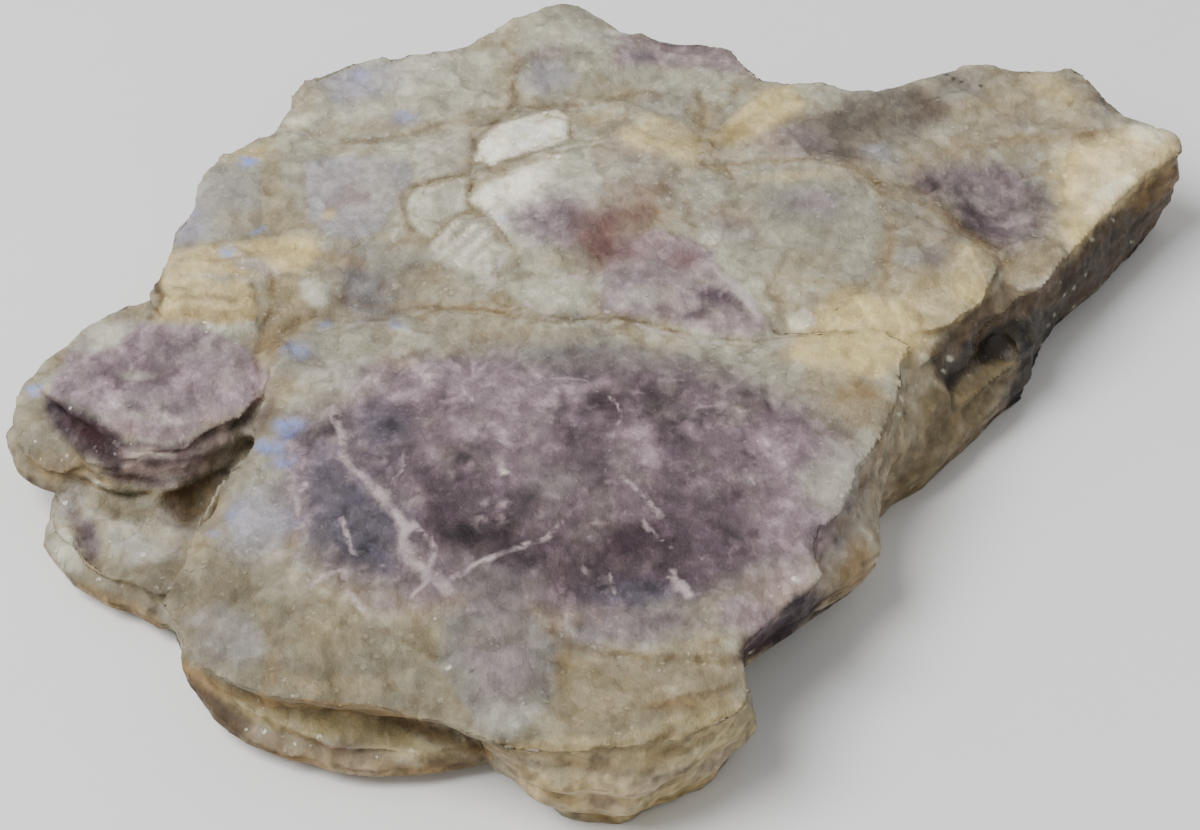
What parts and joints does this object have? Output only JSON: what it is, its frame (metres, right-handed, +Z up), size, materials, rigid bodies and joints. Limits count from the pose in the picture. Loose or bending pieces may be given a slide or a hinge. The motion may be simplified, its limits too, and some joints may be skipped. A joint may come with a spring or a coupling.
{
  "type": "rough lepidolite specimen",
  "caption": "Rough hand-sized slab of grown-together lepidolite mica plates with a purple dome, stepped edges, side lobes and a flat underside to rest on.",
  "frame": {"origin": "centre of the slab's outline on the flat underside that it rests on", "axes": "+Z up out of the underside, +X along the long way of the slab towards the thin right wing, -Y towards the lower layered front edge"},
  "size_m": [0.1044, 0.0966, 0.0133],
  "materials": {
    "lepidolite": "rough layered mica with a soft pearly sheen, grey-beige with purple patches and ochre stains"
  },
  "bodies": {
    "root": {"lepidolite_slab": "lepidolite"}
  },
  "joints": []
}
